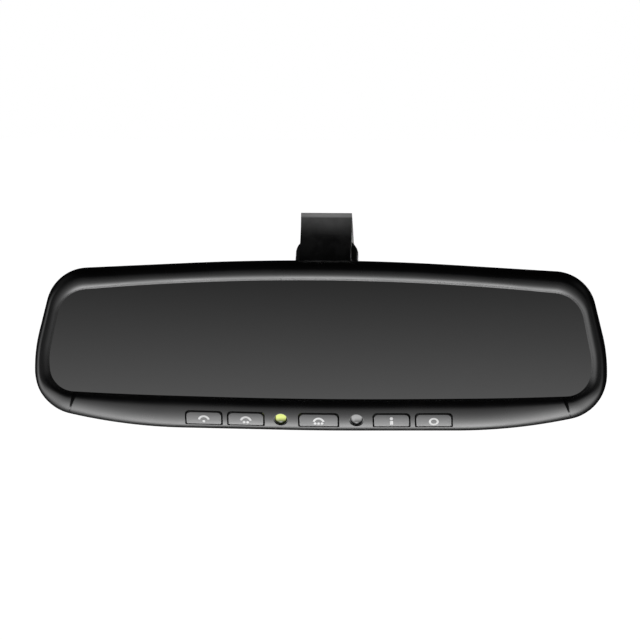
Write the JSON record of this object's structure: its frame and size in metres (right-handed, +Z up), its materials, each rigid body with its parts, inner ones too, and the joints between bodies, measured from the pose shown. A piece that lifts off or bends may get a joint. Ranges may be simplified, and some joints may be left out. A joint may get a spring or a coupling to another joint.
{
  "type": "interior rearview mirror",
  "caption": "Self-dimming interior rearview mirror: wide glass in a dark bezel with chin buttons, indicator and sensor, on a double-ball stay and a windshield bracket.",
  "frame": {"origin": "middle of the bracket's seat on the windshield, in the plane of the glass it sits on", "axes": "+X to the right as the driver sees it, +Y forward towards the windshield, +Z up; the mirror glass faces -Y"},
  "size_m": [0.256, 0.085, 0.0955],
  "materials": {
    "bezel_plastic": "fine satin grain",
    "housing_plastic": "fine moulded grain",
    "button_plastic": "soft satin",
    "dimming_glass": "polished, dark tinted mirror",
    "mirror_plate": "polished",
    "seal": "matt cured resin",
    "clip_metal": "tinned strip",
    "foam": "open-cell foam",
    "carrier_plastic": "plain moulded",
    "board": "solder mask",
    "chip": "moulded resin",
    "can_steel": "tinned sheet",
    "led_lens_plastic": "clear tinted, lit from behind",
    "sensor_lens_plastic": "smoked, clear",
    "sensor_die": "dark clear resin",
    "led_body": "white resin",
    "connector_plastic": "natural nylon",
    "contact_metal": "plated",
    "screw_steel": "zinc plated",
    "spring_steel": "spring strip",
    "nylon": "natural nylon",
    "stay_metal": "die cast, tumbled",
    "stay_cover_plastic": "fine grain",
    "bracket_metal": "black powder coat",
    "ring_plastic": "glass-filled nylon",
    "pad_rubber": "soft silicone"
  },
  "bodies": {
    "bracket": {"windshield_bracket": "bracket_metal", "bracket_set_screw": "screw_steel", "upper_socket_ring": "ring_plastic"},
    "upper_sleeve": {"upper_clamp_sleeve": "spring_steel"},
    "upper_seat": {"upper_ball_seat": "nylon"},
    "stay": {"stay_arm": "stay_metal", "stay_cover": "stay_cover_plastic"},
    "lower_seat": {"lower_ball_seat": "nylon"},
    "lower_sleeve": {"lower_clamp_sleeve": "spring_steel"},
    "head": {"socket_ring": "ring_plastic", "socket_cup": "ring_plastic", "socket_screws": "screw_steel", "rear_housing": "housing_plastic", "front_bezel": "bezel_plastic", "front_glass": "dimming_glass", "cell_seal": "seal", "rear_glass": "mirror_plate", "bus_clip_upper": "clip_metal", "bus_clip_lower": "clip_metal", "foam_pad": "foam", "carrier_plate": "carrier_plastic", "circuit_board": "board", "board_screws": "screw_steel", "tact_switches": "chip", "controller_chips": "chip", "shield_can": "can_steel", "status_led": "led_body", "led_lens": "led_lens_plastic", "glare_sensor": "sensor_die", "glare_sensor_lens": "sensor_lens_plastic", "ambient_sensor": "sensor_die", "ambient_sensor_lens": "sensor_lens_plastic", "connector_header": "connector_plastic", "connector_pins": "contact_metal", "button_pad": "pad_rubber"},
    "opener_button_one": {"opener_button_one": "button_plastic"},
    "opener_button_two": {"opener_button_two": "button_plastic"},
    "opener_button_three": {"opener_button_three": "button_plastic"},
    "light_button": {"light_button": "button_plastic"},
    "power_button": {"power_button": "button_plastic"}
  },
  "joints": [
    {"name": "upper_swing", "type": "hinge", "parent": "bracket", "child": "upper_sleeve", "pos_m": [0, -0.01147, -0.01638], "axis": [0, 0, 1], "range_deg": [-14, 14]},
    {"name": "upper_tilt", "type": "hinge", "parent": "upper_sleeve", "child": "upper_seat", "pos_m": [0, -0.01147, -0.01638], "axis": [1, 0, 0], "range_deg": [-7, 20]},
    {"name": "upper_roll", "type": "hinge", "parent": "upper_seat", "child": "stay", "pos_m": [0, -0.01147, -0.01638], "axis": [0, 0.766, 0.6428], "range_deg": [-10, 10]},
    {"name": "lower_swing", "type": "hinge", "parent": "stay", "child": "lower_seat", "pos_m": [0, -0.04441, -0.04402], "axis": [0, 0, 1], "range_deg": [-20, 20]},
    {"name": "lower_tilt", "type": "hinge", "parent": "lower_seat", "child": "lower_sleeve", "pos_m": [0, -0.04441, -0.04402], "axis": [1, 0, 0], "range_deg": [-12, 12]},
    {"name": "lower_roll", "type": "hinge", "parent": "lower_sleeve", "child": "head", "pos_m": [0, -0.04441, -0.04402], "axis": [0, 1, 0], "range_deg": [-8, 8]},
    {"name": "opener_button_one_press", "type": "slide", "parent": "head", "child": "opener_button_one", "axis": [0.007, 0.866, 0.5], "range_m": [0, 0.00045], "stiffness_N_per_m": 2500, "springref_m": -0.0002},
    {"name": "opener_button_two_press", "type": "slide", "parent": "head", "child": "opener_button_two", "axis": [0.0061, 0.866, 0.5], "range_m": [0, 0.00045], "stiffness_N_per_m": 2500, "springref_m": -0.0002},
    {"name": "opener_button_three_press", "type": "slide", "parent": "head", "child": "opener_button_three", "axis": [0, 0.866, 0.5], "range_m": [0, 0.00045], "stiffness_N_per_m": 2500, "springref_m": -0.0002},
    {"name": "light_button_press", "type": "slide", "parent": "head", "child": "light_button", "axis": [-0.0061, 0.866, 0.5], "range_m": [0, 0.00045], "stiffness_N_per_m": 2500, "springref_m": -0.0002},
    {"name": "power_button_press", "type": "slide", "parent": "head", "child": "power_button", "axis": [-0.007, 0.866, 0.5], "range_m": [0, 0.00045], "stiffness_N_per_m": 2500, "springref_m": -0.0002}
  ]
}
